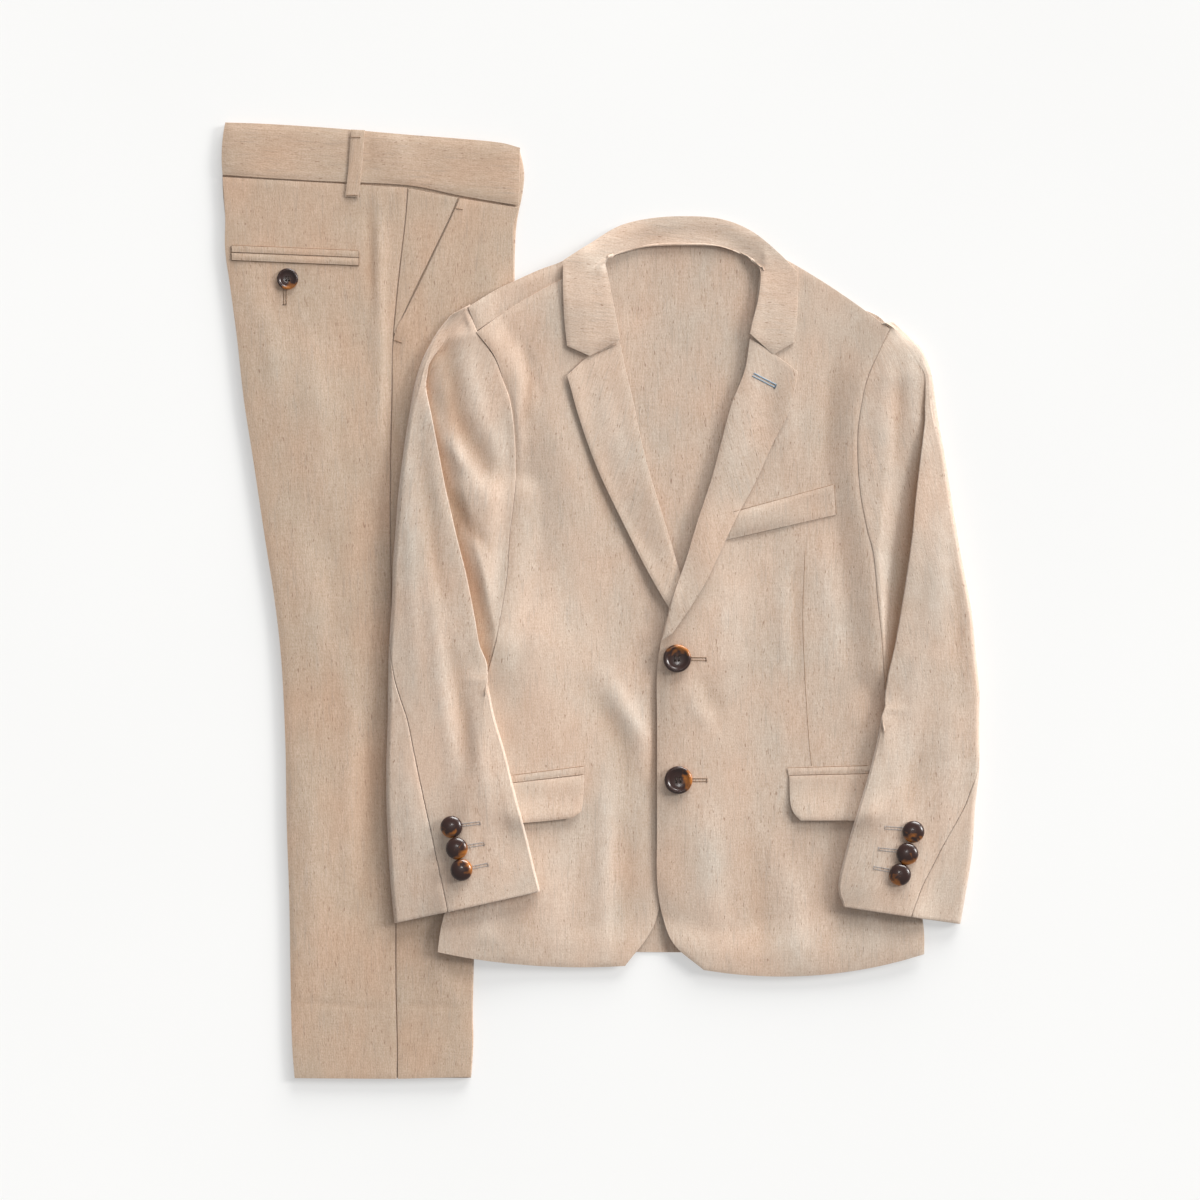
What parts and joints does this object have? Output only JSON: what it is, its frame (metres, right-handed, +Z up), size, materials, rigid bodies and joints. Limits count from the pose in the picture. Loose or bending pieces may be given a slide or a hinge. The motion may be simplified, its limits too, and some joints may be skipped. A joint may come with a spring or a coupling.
{
  "type": "boys' two-piece suit laid flat",
  "caption": "Boys' two-piece suit in linen-look cloth laid flat: a buttoned single-breasted jacket lying over trousers folded side-on.",
  "frame": {"origin": "middle of the suit's outline on the surface that it lies on", "axes": "+X from the wearer's right to the left as the jacket lies, +Y from the hems to the collar, +Z up from the surface"},
  "size_m": [0.5676, 0.7165, 0.0276],
  "materials": {
    "jacket_cloth": "woven linen-look, matt",
    "trouser_cloth": "woven linen-look, matt",
    "button_resin": "polished tortoiseshell resin"
  },
  "bodies": {
    "root": {"jacket_back": "jacket_cloth", "jacket_back_shoulder_right": "jacket_cloth", "jacket_front_right": "jacket_cloth", "jacket_front_left": "jacket_cloth", "jacket_lapel_right": "jacket_cloth", "jacket_lapel_left": "jacket_cloth", "jacket_collar": "jacket_cloth", "jacket_breast_welt": "jacket_cloth", "jacket_jet_right": "jacket_cloth", "jacket_jet_left": "jacket_cloth", "jacket_flap_right": "jacket_cloth", "jacket_flap_left": "jacket_cloth", "jacket_under_sleeve_right": "jacket_cloth", "jacket_upper_sleeve_right": "jacket_cloth", "jacket_under_sleeve_left": "jacket_cloth", "jacket_upper_sleeve_left": "jacket_cloth", "trousers_hidden_layers": "trouser_cloth", "trousers_back_leg": "trouser_cloth", "trousers_front_leg": "trouser_cloth", "trousers_pocket_bearer": "trouser_cloth", "trousers_waistband": "trouser_cloth", "trousers_belt_loop": "trouser_cloth", "trousers_back_welt_upper": "trouser_cloth", "trousers_back_welt_lower": "trouser_cloth", "front_button_upper": "button_resin", "front_button_lower": "button_resin", "cuff_button_right_1": "button_resin", "cuff_button_right_2": "button_resin", "cuff_button_right_3": "button_resin", "cuff_button_left_1": "button_resin", "cuff_button_left_2": "button_resin", "cuff_button_left_3": "button_resin", "back_pocket_button": "button_resin"}
  },
  "joints": []
}
